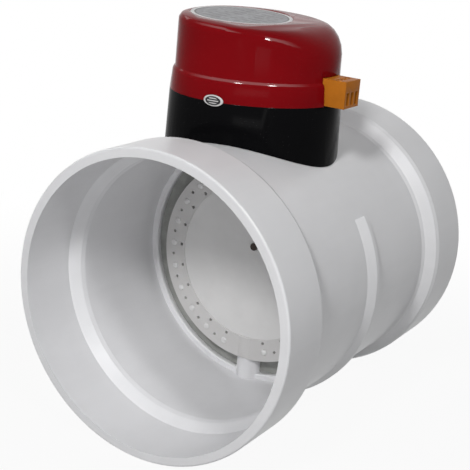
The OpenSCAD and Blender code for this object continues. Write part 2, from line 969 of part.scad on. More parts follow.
module terminal_plug() {
    first = plan_y - (poles - 1)*pole_pitch/2;
    color([0.87, 0.52, 0.13])
        at_shaft()
            difference() {
                union() {
                    plug_box(plug_back, plug_reach, plug_w, plug_z, plug_z + plug_h);
                    plug_box(plug_back - plug_nose, plug_back + over, plug_w - 2*header_wall - gap,
                        board_z + board_t + header_wall + gap/2, header_top - header_wall - gap/2);
                }
                for (i = [0:poles - 1]) {
                    y = first + i*pole_pitch;
                    translate([plug_reach - entry_depth, y - entry_w/2, plug_z + entry_w/2])
                        cube([entry_depth + over, entry_w, entry_h]);
                    post([plug_reach - entry_depth, y], clamp_screw_r,
                        plug_z + plug_h/2, plug_z + plug_h + over);
                }
            }
}

module terminal_screws() {
    first = plan_y - (poles - 1)*pole_pitch/2;
    color([0.7, 0.7, 0.72])
        at_shaft()
            for (i = [0:poles - 1]) {
                at = [plug_reach - entry_depth, first + i*pole_pitch];
                difference() {
                    post(at, clamp_screw_r - loose, plug_z + plug_h/2, plug_z + plug_h*0.85);
                    translate([at[0], at[1], plug_z + plug_h*0.85])
                        cube([2*clamp_screw_r, clamp_screw_r/3, clamp_screw_r], center = true);
                }
            }
}

// Window of the housing round the plug
module plug_window() {
    plug_box(plug_back - plug_nose, plug_reach, plug_w + 2*gap, seam_z - over,
        plug_z + plug_h + gap);
}

// Housing

module actuator_base() {
    low_grow = (seam_z - skirt_low)*tan(base_draft);
    color([0.07, 0.07, 0.08])
        at_shaft()
            difference() {
                union() {
                    difference() {
                        skin([plan_ring(skirt_low, low_grow), plan_ring(seam_z, 0)]);
                        plan_solid(-base_wall, skirt_low - over, floor_z);
                        plan_solid(-base_wall, floor_top, seam_z + over);
                    }
                    difference() {
                        plan_solid(-rebate - loose, seam_z - over, seam_z + tongue_h);
                        plan_solid(-base_wall, seam_z - 2*over, seam_z + tongue_h + over);
                        plug_window();
                    }
                    for (at = plate_post_at)
                        post(at, plate_post_r, floor_top - over, gear_plate_z);
                    for (at = board_post_at)
                        post(at, board_post_r, floor_top - over, board_z);
                    post(idler_at, 2*axle_r + over/2, floor_top - over, out_z - 2*gap);
                    for (turn = [0, 90], side = [-1, 1])
                        rotate([0, 0, turn])
                            post([switch_face + 0.7*switch_h, side*switch_pin_at], switch_pin_r,
                                floor_top - over, floor_top + switch_t*0.8);
                }
                barrel_cut(barrel_out_r + gap);
                post([0, 0], boss_r + boss_wall + gap, floor_z - over, floor_top + over);
                post(idler_at, axle_r + loose, floor_top - base_wall/2, out_z);
                for (at = base_post_at)
                    post(at, screw_r + 2*loose, floor_z - over, floor_top + over);
                for (at = plate_post_at)
                    post(at, small_screw_r, gear_plate_z - 3*plate_post_r, gear_plate_z + over);
                for (at = board_post_at)
                    post(at, small_screw_r, board_z - 3*board_post_r, board_z + over);
            }
}

module base_screws() {
    color([0.55, 0.55, 0.57])
        at_shaft()
            for (at = base_post_at)
                screw(at, screw_r, floor_top, base_wall + 1.6*post_r);
}

module cover_gasket() {
    color([0.2, 0.2, 0.2])
        at_shaft()
            difference() {
                plan_solid(-rebate - loose, seam_z + tongue_h, seam_z + tongue_h + gasket_t);
                plan_solid(-base_wall, seam_z, seam_z + tongue_h + gasket_t + over);
                plug_window();
            }
}

// Inset of the cover's side at height z, for the outline's angle t
function top_round(t, shell) = max(over,
    round_back + (round_nose - round_back)*pow(max(0, cos(t)), 3) - shell);
function cover_inset(t, z, shell) =
    let (r = top_round(t, shell),
         below = top_z - shell - z,
         rise = min(max(0, z - ridge_z), ridge_step),
         lean = skirt_inset*min(1, (z - seam_z)/skirt_h)
             + ridge_step - sqrt(ridge_step*ridge_step - rise*rise)
             + skirt_inset*max(0, z - ridge_z)/(top_z - ridge_z)/2,
         bend = below < r ? r - sqrt(max(0, r*r - (r - below)*(r - below))) : 0)
    shell + lean + bend;
function fall(x, z) = tan(top_fall)*(x + plan_x + plan_back)
    *max(0, z - ridge_z - ridge_step)/(top_z - ridge_z - ridge_step);
function cover_ring(z, shell) =
    [for (i = [0:plan_steps - 1]) let (t = 360*i/plan_steps,
        q = plan_point(t, -cover_inset(t, z, shell))) [q[0], q[1], z - fall(q[0], z)]];
function round_heights(r, top) = [for (a = [0:15:90]) top - r*(1 - sin(a))];

module cover_form(shell, low) {
    top = top_z - shell;
    skin(concat(
        [cover_ring(low, shell)],
        [for (a = [0:30:90]) cover_ring(ridge_z + ridge_step*sin(a), shell)],
        [for (z = round_heights(max(over, round_nose - shell), top)) cover_ring(z, shell)]));
}

// Lies on the cover's falling top, the middle of the label at the origin
module on_top() {
    translate([-plan_x - plan_back, plan_y, top_z])
        rotate([0, top_fall, 0])
            translate([plan_back - label_off, 0, 0])
                children();
}

module actuator_cover() {
    rebate_top = seam_z + tongue_h + gasket_t;
    color([0.55, 0.03, 0.05])
        at_shaft()
            difference() {
                cover_form(0, seam_z);
                cover_form(cover_wall, rebate_top - over/10);
                plan_solid(-rebate, seam_z - over, rebate_top);
                plug_window();
                on_top()
                    translate([0, 0, -label_pit])
                        linear_extrude(label_pit + over)
                            polygon(oval_outline(label_w/2 + 2*loose, label_len/2 + 2*loose));
            }
}

module label_plate() {
    color([0.75, 0.76, 0.78])
        at_shaft()
            on_top()
                translate([0, 0, -label_pit])
                    linear_extrude(label_pit - loose)
                        polygon(oval_outline(label_w/2, label_len/2));
}

duct_body();
upper_bush();
lower_bush();
shaft_o_ring();
seal_retainer();
blade_front();
blade_rear();
blade_seal();
blade_rivets();
blade_screws();
pivot_pin();
drive_shaft();
output_gear();
switch_cam();
idler_gear();
idler_axle();
motor_pinion();
motor_spindle();
motor_can();
motor_screws();
gear_plate();
plate_screws();
closed_switch();
open_switch();
closed_button();
open_button();
circuit_board();
board_screws();
motor_capacitor();
terminal_header();
terminal_plug();
terminal_screws();
actuator_base();
base_screws();
cover_gasket();
actuator_cover();
label_plate();
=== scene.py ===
import json
import math
import bpy
from mathutils import Matrix, Vector

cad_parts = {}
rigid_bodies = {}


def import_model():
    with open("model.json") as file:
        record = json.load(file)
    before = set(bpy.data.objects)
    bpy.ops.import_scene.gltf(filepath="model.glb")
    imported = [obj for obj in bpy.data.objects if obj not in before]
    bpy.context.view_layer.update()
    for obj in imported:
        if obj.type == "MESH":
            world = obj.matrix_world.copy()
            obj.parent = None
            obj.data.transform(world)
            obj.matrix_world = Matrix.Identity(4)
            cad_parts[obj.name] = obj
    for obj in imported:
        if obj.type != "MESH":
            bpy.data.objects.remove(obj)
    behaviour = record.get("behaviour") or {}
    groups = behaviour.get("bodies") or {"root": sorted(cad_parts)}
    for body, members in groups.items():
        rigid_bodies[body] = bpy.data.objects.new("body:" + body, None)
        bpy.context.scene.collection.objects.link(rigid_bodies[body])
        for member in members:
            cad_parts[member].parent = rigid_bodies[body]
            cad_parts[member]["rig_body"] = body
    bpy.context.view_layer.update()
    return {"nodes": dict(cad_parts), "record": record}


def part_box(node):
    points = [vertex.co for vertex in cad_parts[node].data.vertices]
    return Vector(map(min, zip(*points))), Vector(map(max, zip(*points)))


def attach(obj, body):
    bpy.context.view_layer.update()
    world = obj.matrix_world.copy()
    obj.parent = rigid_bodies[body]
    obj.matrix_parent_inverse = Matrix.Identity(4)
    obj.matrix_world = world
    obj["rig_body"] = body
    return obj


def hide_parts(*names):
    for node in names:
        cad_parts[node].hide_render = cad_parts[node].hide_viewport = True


# looks of the motorized duct damper: finishes, rounded edges, the seal across the seam, and the studio
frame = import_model()
nodes = frame["nodes"]
mm = 0.001
print("frame loaded:", len(nodes), "nodes")


# shader wiring

def plug(value, socket):
    # a wire is linked to the socket, any other value is set on it
    if isinstance(value, Wire):
        socket.id_data.links.new(value.socket, socket)
    else:
        socket.default_value = value


class Wire:
    # one output socket; sums, products and comparisons of wires and numbers add the Math nodes

    def __init__(self, socket):
        self.socket = socket

    def math(self, operation, *values):
        node = self.socket.id_data.nodes.new("ShaderNodeMath")
        node.operation = operation
        for place, value in enumerate(values):
            plug(value, node.inputs[place])
        return Wire(node.outputs[0])

    def __add__(self, other):
        return self.math("ADD", self, other)

    def __radd__(self, other):
        return self.math("ADD", other, self)

    def __sub__(self, other):
        return self.math("SUBTRACT", self, other)

    def __rsub__(self, other):
        return self.math("SUBTRACT", other, self)

    def __mul__(self, other):
        return self.math("MULTIPLY", self, other)

    def __rmul__(self, other):
        return self.math("MULTIPLY", other, self)

    def __truediv__(self, other):
        return self.math("DIVIDE", self, other)

    def __rtruediv__(self, other):
        return self.math("DIVIDE", other, self)

    def __pow__(self, other):
        return self.math("POWER", self, other)

    def __rpow__(self, other):
        return self.math("POWER", other, self)

    def __lt__(self, other):
        return self.math("LESS_THAN", self, other)

    def __gt__(self, other):
        return self.math("GREATER_THAN", self, other)

    def root(self):
        return self.math("SQRT", self)

    def size(self):
        return self.math("ABSOLUTE", self)

    def wave(self):  # 0 at whole numbers, 0.5 halfway between them
        return self.math("PINGPONG", self, 0.5)

    def either(self, other):
        return self.math("MAXIMUM", self, other)

    def swing(self, spread):  # a noise about zero instead of about 0.5
        return spread * (self - 0.5)

    def beside(self, name):  # another output of the same node
        return Wire(self.socket.node.outputs[name])


class Nodes:
    # a node tree, the method that adds any other node, and the patterns made with it

    def __init__(self, tree):
        self.tree = tree

    def add(self, kind, settings=None, values=None, out=0):
        node = self.tree.nodes.new("ShaderNode" + kind)
        for name, value in (settings or {}).items():
            setattr(node, name, value)
        for name, value in (values or {}).items():
            plug(value, node.inputs[name])
        return Wire(node.outputs[out])

    def place(self, centre=(0, 0, 0), stretch=(1, 1, 1)):
        spot = self.add("TexCoord", out="Object")
        start = [-c * s for c, s in zip(centre, stretch)]
        return self.add("Mapping", {"vector_type": "POINT"},
                        {"Vector": spot, "Location": start, "Scale": stretch})

    def parts(self, vector, axes):
        split = self.add("SeparateXYZ", values={"Vector": vector})
        return [split.beside(axis) for axis in axes]

    def noise(self, vector, scale, detail=3, finer=0.5):  # finer: how much its smaller waves weigh
        return self.add("TexNoise", values={"Vector": vector, "Scale": scale, "Detail": detail,
                                            "Roughness": finer})

    def fade(self, value, low, high, start=0, end=1):
        return self.add("MapRange", {"interpolation_type": "SMOOTHSTEP"}, {
            "Value": value, "From Min": low, "From Max": high, "To Min": start, "To Max": end})

    def blend(self, factor, first, second):
        ends = [end if isinstance(end, Wire) else (*end, 1) for end in (first, second)]
        sockets = {0: factor, 6: ends[0], 7: ends[1]}  # the factor and the two colours
        return self.add("Mix", {"data_type": "RGBA"}, sockets, 2)

    def backdrop(self, lit, shown, share=1):
        # one shader lights the object, and the camera, a gloss or glass sees a share of the other
        path = self.add("LightPath", out="Is Camera Ray")
        seen = path.either(path.beside("Is Glossy Ray")).either(path.beside("Is Transmission Ray"))
        return self.add("MixShader", values={0: seen * share, 1: lit, 2: shown})

    def surface(self, shader, output):
        plug(shader, self.tree.nodes[output].inputs["Surface"])


class Finish(Nodes):
    # a material with its shader

    def __init__(self, name, look):
        self.material = bpy.data.materials.new(name)
        self.material.use_nodes = True
        self.material.diffuse_color = (*look["colour"], 1)
        super().__init__(self.material.node_tree)
        self.shader = self.tree.nodes["Principled BSDF"]
        self.colour = look["colour"]
        self.give("Base Color", (*look["colour"], 1))
        self.give("Roughness", look["roughness"])
        self.give("Metallic", look.get("metallic", 0))
        self.give("Specular IOR Level", look.get("specular", 0.5))

    def give(self, name, value):
        plug(value, self.shader.inputs[name])

    def paint(self, colour, mask):
        # lays a colour over the finish's colour so far, where the mask is 1
        self.colour = self.blend(mask, self.colour, colour)
        self.give("Base Color", self.colour)

    def mottle(self, tone, darker, lighter):
        # the first coat: the plain colour, darker where the tone is 0 and lighter where it is 1
        plain = self.colour
        self.colour = shade(plain, darker)
        self.paint(shade(plain, lighter), tone)

    def bump(self, height, depth, strength=1):
        relief = {"Height": height, "Distance": depth, "Strength": strength}
        self.give("Normal", self.add("Bump", values=relief))


def shade(colour, share):
    return tuple(min(1, c * share) for c in colour)


# moulded and rubber finishes

ductPlastic = {"colour": (0.81, 0.81, 0.825), "roughness": 0.36, "roughSpread": 0.16, "mottle": 0.035,
               "cloudScale": 22, "flowScale": 60, "grainScale": 1300, "grainDepth": 0.00006}
bladePlastic = {"colour": (0.71, 0.705, 0.70), "roughness": 0.42, "roughSpread": 0.12, "mottle": 0.04,
                "cloudScale": 30, "flowScale": 90, "grainScale": 1600, "grainDepth": 0.00005}
rivetPlastic = {"colour": (0.75, 0.745, 0.745), "roughness": 0.3, "roughSpread": 0.1, "mottle": 0.03,
                "cloudScale": 120, "flowScale": 200, "grainScale": 2000, "grainDepth": 0.00003}
gearPlastic = {"colour": (0.78, 0.75, 0.66), "roughness": 0.42, "roughSpread": 0.12, "mottle": 0.05,
               "cloudScale": 80, "flowScale": 160, "grainScale": 2400, "grainDepth": 0.00003}
camPlastic = {"colour": (0.02, 0.02, 0.022), "roughness": 0.4, "roughSpread": 0.1, "mottle": 0.1,
              "cloudScale": 100, "flowScale": 200, "grainScale": 2400, "grainDepth": 0.00004}
switchPlastic = {"colour": (0.015, 0.015, 0.018), "roughness": 0.5, "roughSpread": 0.12, "mottle": 0.12,
                 "cloudScale": 120, "flowScale": 240, "grainScale": 3000, "grainDepth": 0.00006}
buttonPlastic = {"colour": (0.5, 0.02, 0.012), "roughness": 0.3, "roughSpread": 0.1, "mottle": 0.06,
                 "cloudScale": 300, "flowScale": 400, "grainScale": 4000, "grainDepth": 0.00002}
terminalPlastic = {"colour": (0.46, 0.15, 0.012), "roughness": 0.4, "roughSpread": 0.14, "mottle": 0.07,
                   "cloudScale": 160, "flowScale": 260, "grainScale": 3000, "grainDepth": 0.00005,
                   "specular": 0.08}
capacitorPlastic = {"colour": (0.6, 0.42, 0.05), "roughness": 0.4, "roughSpread": 0.1, "mottle": 0.06,
                    "cloudScale": 120, "flowScale": 200, "grainScale": 2600, "grainDepth": 0.00005}

# how cloud, melt flow and grain mix in all of them
moulding = {"flowStretch": (1, 0.15, 1), "flowFiner": 0.6, "flowShare": 0.4, "toneEdges": (0.35, 0.65),
            "grainSpread": 0.06, "grainShare": 0.7, "bump": 0.6}


def mouldedPlastic(name, look):
    finish = Finish(name, look)
    spot = finish.place()
    along = finish.place(stretch=moulding["flowStretch"])
    cloud = finish.noise(spot, look["cloudScale"])
    flow = finish.noise(along, look["flowScale"], detail=4, finer=moulding["flowFiner"])
    grain = finish.noise(spot, look["grainScale"], detail=2)
    share = moulding["flowShare"]
    tone = finish.fade(cloud * (1 - share) + flow * share, *moulding["toneEdges"])
    finish.mottle(tone, 1 - look["mottle"], 1 + look["mottle"] / 2)
    uneven = flow.swing(look["roughSpread"]) + grain.swing(moulding["grainSpread"])
    finish.give("Roughness", look["roughness"] + uneven)
    share = moulding["grainShare"]
    finish.bump(grain * share + cloud * (1 - share), look["grainDepth"], moulding["bump"])
    return finish


# the clamping ring, outside the dish, is duller than the dish: radius and blur of its edge in mm
clampRing = {"dishEdge": 47.5, "blur": 0.2, "dull": 0.42, "dust": (0.48, 0.465, 0.455)}


def bladeFinish(look, ring):
    finish = mouldedPlastic("bladePlastic", look)
    x, z = finish.parts(finish.place(), "XZ")
    reach = (x * x + z * z).root() / mm
    outside = finish.fade(reach, ring["dishEdge"] - ring["blur"], ring["dishEdge"] + ring["blur"])
    finish.paint(ring["dust"], outside * ring["dull"])
    return finish


sealRubber = {"colour": (0.27, 0.275, 0.26), "bloom": (0.35, 0.355, 0.34), "roughness": 0.62,
              "bloomScale": 70, "grainScale": 2200, "grainDepth": 0.00008}
blackRubber = {"colour": (0.012, 0.012, 0.012), "bloom": (0.03, 0.03, 0.03), "roughness": 0.6,
               "bloomScale": 90, "grainScale": 2600, "grainDepth": 0.00006}
blooming = {"finer": 0.65, "edges": (0.42, 0.7), "roughSpread": 0.2}  # the pale bloom on both rubbers


def rubber(name, look):
    finish = Finish(name, look)
    spot = finish.place()
    pale = finish.noise(spot, look["bloomScale"], detail=5, finer=blooming["finer"])
    grain = finish.noise(spot, look["grainScale"])
    finish.paint(look["bloom"], finish.fade(pale, *blooming["edges"]))
    finish.give("Roughness", look["roughness"] + pale.swing(blooming["roughSpread"]))
    finish.bump(grain, look["grainDepth"])
    return finish


# polished housing

coverPlastic = {"colour": (0.215, 0.0035, 0.006), "roughness": 0.12, "specular": 0.02, "coatIndex": 1.75,
                "polish": 1, "swellScale": 90, "swellDepth": 0.0001, "cloudScale": 18, "rubScale": 45,
                "dust": (0.3, 0.1, 0.1), "dustScale": 700, "dustSize": 0.09}
basePlastic = {"colour": (0.0035, 0.0035, 0.004), "roughness": 0.14, "specular": 0.02, "coatIndex": 1.5,
               "polish": 0.5, "swellScale": 80, "swellDepth": 0.00012, "cloudScale": 20, "rubScale": 40,
               "dust": (0.08, 0.08, 0.08), "dustScale": 600, "dustSize": 0.09}

# how cloud, dust and rubbing mix on both halves
housingWear = {"toneEdges": (0.3, 0.7), "darker": 0.93, "lighter": 1.06, "bump": 0.5, "cloudBump": 0.15,
               "rubStretch": (1, 1, 7), "rubFiner": 0.7, "rubEdges": (0.52, 0.75), "rubRough": 0.1,
               "dustOver": 0.5, "dustShow": 0.35, "dustRough": 0.3}

# the mould's polish, a clear coat, lies on edges that are turned upwards and towards either socket, but
# not towards the left: how far a face's normal points each way where the coat starts and is full, or ends
edgePolish = {"upStart": (0.4, 0.45), "upEnd": (0.56, 0.62), "alongStart": (0.35, 0.6),
              "rightStart": (-0.3, 0.1), "roughness": 0.1}


def polishedEdges(finish, look):
    x, y, z = finish.parts(finish.add("NewGeometry", out="Normal"), "XYZ")
    upwards = finish.fade(z, *look["upStart"]) * finish.fade(z, *look["upEnd"], 1, 0)
    return upwards * finish.fade(y.size(), *look["alongStart"]) * finish.fade(x, *look["rightStart"])


def polishedPlastic(name, look):
    finish = Finish(name, look)
    spot = finish.place()
    swell = finish.noise(spot, look["swellScale"], detail=2)
    cloud = finish.noise(spot, look["cloudScale"])
    upright = finish.place(stretch=housingWear["rubStretch"])
    rub = finish.noise(upright, look["rubScale"], detail=4, finer=housingWear["rubFiner"])
    grit = finish.add("TexVoronoi", {"feature": "F1"}, {"Vector": spot, "Scale": look["dustScale"]})
    speck = (grit < look["dustSize"]) * (cloud > housingWear["dustOver"])
    tone = finish.fade(cloud, *housingWear["toneEdges"])
    finish.mottle(tone, housingWear["darker"], housingWear["lighter"])
    finish.paint(look["dust"], speck * housingWear["dustShow"])
    worn = finish.fade(rub, *housingWear["rubEdges"])
    dulled = housingWear["rubRough"] * worn + housingWear["dustRough"] * speck
    finish.give("Roughness", look["roughness"] + dulled)
    finish.give("Coat Weight", polishedEdges(finish, edgePolish) * look["polish"])
    finish.give("Coat Roughness", edgePolish["roughness"])
    finish.give("Coat IOR", look["coatIndex"])
    finish.bump(swell + housingWear["cloudBump"] * cloud, look["swellDepth"], housingWear["bump"])
    return finish


# metals

groundSteel = {"colour": (0.56, 0.56, 0.58), "roughness": 0.26, "metallic": 1,
               "lines": (1, 1, 14), "lineScale": 300, "cloudScale": 60, "lineDepth": 0.00002}
platedSteel = {"colour": (0.56, 0.57, 0.6), "roughness": 0.34, "metallic": 1,
               "lines": (3, 3, 0.4), "lineScale": 240, "cloudScale": 40, "lineDepth": 0.00003}
screwSteel = {"colour": (0.55, 0.55, 0.57), "roughness": 0.3, "metallic": 1,
              "lines": (1, 1, 6), "lineScale": 500, "cloudScale": 150, "lineDepth": 0.00002}
darkSteel = {"colour": (0.035, 0.026, 0.022), "roughness": 0.4, "metallic": 0.7,
             "lines": (1, 6, 1), "lineScale": 500, "cloudScale": 250, "lineDepth": 0.00003}
sheetAluminium = {"colour": (0.7, 0.71, 0.73), "roughness": 0.34, "metallic": 1,
                  "lines": (0.15, 6, 1), "lineScale": 260, "cloudScale": 40, "lineDepth": 0.00002}
turnedBrass = {"colour": (0.72, 0.49, 0.2), "roughness": 0.28, "metallic": 1,
               "lines": (1, 1, 8), "lineScale": 420, "cloudScale": 120, "lineDepth": 0.00002}
sinteredBronze = {"colour": (0.5, 0.32, 0.16), "roughness": 0.5, "metallic": 1,
                  "lines": (1, 1, 1), "lineScale": 1500, "cloudScale": 200, "lineDepth": 0.00008}

# how the tool's lines and a cloud mix in all of them
working = {"lineFiner": 0.6, "lineShare": 0.5, "toneEdges": (0.35, 0.65), "darker": 0.88, "lighter": 1.08,
           "lineSpread": 0.18, "cloudSpread": 0.1}


def workedMetal(name, look):
    finish = Finish(name, look)
    lines = finish.noise(finish.place(stretch=look["lines"]), look["lineScale"], finer=working["lineFiner"])
    cloud = finish.noise(finish.place(), look["cloudScale"])
    share = working["lineShare"]
    tone = finish.fade(cloud * (1 - share) + lines * share, *working["toneEdges"])
    finish.mottle(tone, working["darker"], working["lighter"])
    uneven = lines.swing(working["lineSpread"]) + cloud.swing(working["cloudSpread"])
    finish.give("Roughness", look["roughness"] + uneven)
    finish.bump(lines, look["lineDepth"])
    return finish


# board and label

boardLaminate = {"colour": (0.012, 0.11, 0.045), "trackColour": (0.03, 0.19, 0.08), "roughness": 0.3,
                 "trackRough": 0.12, "trackPitch": 2.54, "trackShare": 0.32, "trackDepth": 0.00004,
                 "patchScale": 120, "patchOver": 0.52}


def boardFinish(look):
    finish = Finish("boardLaminate", look)
    sides = finish.parts(finish.place(), "XY")
    pitch = look["trackPitch"] * mm
    across, along = [(side / pitch).wave() < look["trackShare"] / 2 for side in sides]
    patch = finish.noise(finish.place(), look["patchScale"], detail=0) > look["patchOver"]
    track = across * patch + along * (1 - patch)
    finish.paint(look["trackColour"], track)
    finish.give("Roughness", look["roughness"] + look["trackRough"] * track)
    finish.bump(track, look["trackDepth"])
    return finish


# shares are of the label's half width; the print is rows of plain dashes
labelLook = {"colour": (0.2, 0.2, 0.215), "roughness": 0.36, "roughSpread": 0.15, "specular": 0.25,
             "border": (0.75, 0.75, 0.75), "borderShare": 0.93,
             "line": (0.03, 0.03, 0.032), "lineShare": 0.895, "blur": 0.01, "borderRough": 0.15,
             "borderBump": 0.6, "streakBump": 0.1, "bumpDepth": 0.00006,
             "mottle": 0.3, "streakStretch": (1, 0.4, 1), "streakScale": 420, "streakFiner": 0.65,
             "streakEdges": (0.42, 0.6), "rows": 4.5, "rowShare": 0.13, "dashStretch": (1, 0.1, 1),
             "dashScale": 330, "dashOver": 0.47, "printShare": 0.8, "printShow": 0.8}


def labelFinish(look):
    low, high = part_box("label_plate")
    finish = Finish("labelFilm", look)
    x, y = finish.parts(finish.place(centre=(low + high) / 2), "XY")
    u = x / ((high.x - low.x) / 2)
    v = y / ((high.y - low.y) / 2)
    reach = (u * u + v * v).root()
    border, line = [finish.fade(reach, look[share] - look["blur"], look[share] + look["blur"])
                    for share in ("borderShare", "lineShare")]
    along = finish.place(stretch=look["streakStretch"])
    streaks = finish.noise(along, look["streakScale"], detail=4, finer=look["streakFiner"])
    spread = finish.place(stretch=look["dashStretch"])
    dashes = finish.noise(spread, look["dashScale"], detail=1) > look["dashOver"]
    rows = ((v * look["rows"]).wave() < look["rowShare"]) * dashes * (reach < look["printShare"])
    finish.mottle(finish.fade(streaks, *look["streakEdges"]), 1 - look["mottle"], 1 + look["mottle"])
    finish.paint(look["line"], line.either(rows * look["printShow"]))
    finish.paint(look["border"], border)
    uneven = streaks.swing(look["roughSpread"]) + look["borderRough"] * border
    finish.give("Roughness", look["roughness"] + uneven)
    finish.bump(border * look["borderBump"] + streaks * look["streakBump"], look["bumpDepth"])
    return finish


finishes = {
    "duct_plastic": mouldedPlastic("ductPlastic", ductPlastic),
    "blade_plastic": bladeFinish(bladePlastic, clampRing),
    "rivet_plastic": mouldedPlastic("rivetPlastic", rivetPlastic),
    "gear_plastic": mouldedPlastic("gearPlastic", gearPlastic),
    "cam_plastic": mouldedPlastic("camPlastic", camPlastic),
    "switch_plastic": mouldedPlastic("switchPlastic", switchPlastic),
    "button_plastic": mouldedPlastic("buttonPlastic", buttonPlastic),
    "terminal_plastic": mouldedPlastic("terminalPlastic", terminalPlastic),
    "capacitor_plastic": mouldedPlastic("capacitorPlastic", capacitorPlastic),
    "seal_rubber": rubber("sealRubber", sealRubber),
    "black_rubber": rubber("blackRubber", blackRubber),
    "cover_plastic": polishedPlastic("coverPlastic", coverPlastic),
    "base_plastic": polishedPlastic("basePlastic", basePlastic),
    "shaft_steel": workedMetal("groundSteel", groundSteel),
    "zinc_steel": workedMetal("platedSteel", platedSteel),
    "screw_steel": workedMetal("screwSteel", screwSteel),
    "dark_steel": workedMetal("darkSteel", darkSteel),
    "plate_aluminium": workedMetal("sheetAluminium", sheetAluminium),
    "pinion_brass": workedMetal("turnedBrass", turnedBrass),
    "bush_bronze": workedMetal("sinteredBronze", sinteredBronze),
    "board_laminate": boardFinish(boardLaminate),
    "label_film": labelFinish(labelLook),
}
slotOf = {row["node"]: row["material_slot"] for row in frame["record"]["subparts"]}
for name, node in nodes.items():
    node.data.materials.clear()
    node.data.materials.append(finishes[slotOf[name]].material)
print("finishes made:", len(finishes))


# rounded copies of the moulded nodes, whose edges catch the light

def selectNone():
    bpy.ops.object.select_all(action="DESELECT")


def selectOnly(piece):
    selectNone()
    piece.select_set(True)
    bpy.context.view_layer.objects.active = piece


# the ridge round the cover, in mm: its height above the seam, the heights of its rings above that
# with the shift of each, and how near a corner lies to its ring
ridge = {"above": 11.3, "rings": ((0, -1.6), (0.65, -1.0), (1.126, -0.576)), "near": 0.02}


def easeRidge(shell, look):
    low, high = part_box("actuator_cover")
    middle = (low + high) / 2
    for above, shift in look["rings"]:
        height = low.z + (look["above"] + above) * mm
        bpy.ops.object.mode_set(mode="EDIT")
        bpy.ops.mesh.select_all(action="DESELECT")
        bpy.ops.object.mode_set(mode="OBJECT")
        for point in shell.data.vertices:
            outward = (point.co - middle).xy.dot(point.normal.xy) > 0
            point.select = outward and abs(point.co.z - height) < look["near"] * mm
        bpy.ops.object.mode_set(mode="EDIT")
        bpy.ops.transform.translate(value=(0, 0, shift * mm))
        bpy.ops.object.mode_set(mode="OBJECT")


# width of the rounding in mm, and the angle in degrees from which an edge counts as one; the cover's
# ridge is eased before its edges are rounded
softened = {
    "actuator_cover": {"width": 0.3, "angle": 35, "ridge": ridge},
    "actuator_base": {"width": 0.3, "angle": 35},
    "terminal_plug": {"width": 0.25, "angle": 30},
    "terminal_header": {"width": 0.2, "angle": 30},
    "blade_front": {"width": 0.25, "angle": 20},
    "blade_rear": {"width": 0.25, "angle": 20},
}
rework = {"weld": 0.002, "flat": 0.3, "segments": 2}  # mm between doubles, degrees between flat faces


def shellName(node):
    first, *rest = node.split("_")
    return first + "".join(word.capitalize() for word in rest) + "Shell"


def copyNode(name):
    source = nodes[name]
    copy = source.copy()
    copy.data = source.data.copy()
    copy.name = shellName(name)
    copy.parent = None
    for key in list(copy.keys()):  # the frame's own marks stay with the node
        del copy[key]
    bpy.context.scene.collection.objects.link(copy)
    return copy


def soften(name, look):
    copy = copyNode(name)
    selectOnly(copy)
    bpy.ops.object.mode_set(mode="EDIT")
    bpy.ops.mesh.select_all(action="SELECT")
    bpy.ops.mesh.remove_doubles(threshold=rework["weld"] * mm)
    bpy.ops.mesh.dissolve_limited(angle_limit=math.radians(rework["flat"]))
    bpy.ops.object.mode_set(mode="OBJECT")
    if "ridge" in look:
        easeRidge(copy, look["ridge"])
    rounding = copy.modifiers.new("rounding", "BEVEL")
    rounding.width = look["width"] * mm
    rounding.segments = rework["segments"]
    rounding.limit_method = "ANGLE"
    rounding.angle_limit = math.radians(look["angle"])
    bpy.ops.object.modifier_apply(modifier="rounding")
    bpy.ops.object.shade_smooth_by_angle(angle=math.radians(look["angle"]))
    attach(copy, nodes[name]["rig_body"])
    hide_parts(name)
    return copy


shells = {name: soften(name, look) for name, look in softened.items()}
print("edges rounded on", ", ".join(softened))


# the oval seal stuck across the housing's seam, a flattened ball bent to a radius, in mm
seal = {"x": -6, "aboveSeam": 0.7, "width": 11.6, "height": 6.2, "thick": 0.7, "sunk": 0.1, "bend": 60,
        "segments": 48, "rings": 24, "smooth": 60}
sealLook = {"colour": (0.02, 0.02, 0.022), "print": (0.62, 0.62, 0.61), "roughness": 0.3, "specular": 0.3,
            "roughSpread": 0.2, "ringShares": (0.78, 0.96), "blur": 0.03, "lines": 2.4, "lineWidth": 0.2,
            "lineShare": 0.55, "grainScale": 900, "grainDepth": 0.00003}


def sealFinish(look, centre, half):
    finish = Finish("sealFilm", look)
    x, z = finish.parts(finish.place(centre=centre), "XZ")
    reach = ((x / half[0]) ** 2 + (z / half[1]) ** 2).root()
    inner, outer = look["ringShares"]
    ring = finish.fade(reach, inner - look["blur"], inner)
    ring = ring * finish.fade(reach, outer, outer + look["blur"], 1, 0)
    lines = ((z / half[1] * look["lines"]).wave() < look["lineWidth"]) * (reach < look["lineShare"])
    grain = finish.noise(finish.place(), look["grainScale"])
    finish.paint(look["print"], ring.either(lines))
    finish.give("Roughness", look["roughness"] + grain.swing(look["roughSpread"]))
    finish.bump(grain + ring, look["grainDepth"])
    return finish


def frontAt(shell, x, z):
    # where a line along the duct, from a metre in front, meets that shell, and which way it faces
    bpy.context.view_layer.update()
    return shell.ray_cast(Vector((x, -1, z)), Vector((0, 1, 0)))[1:3]


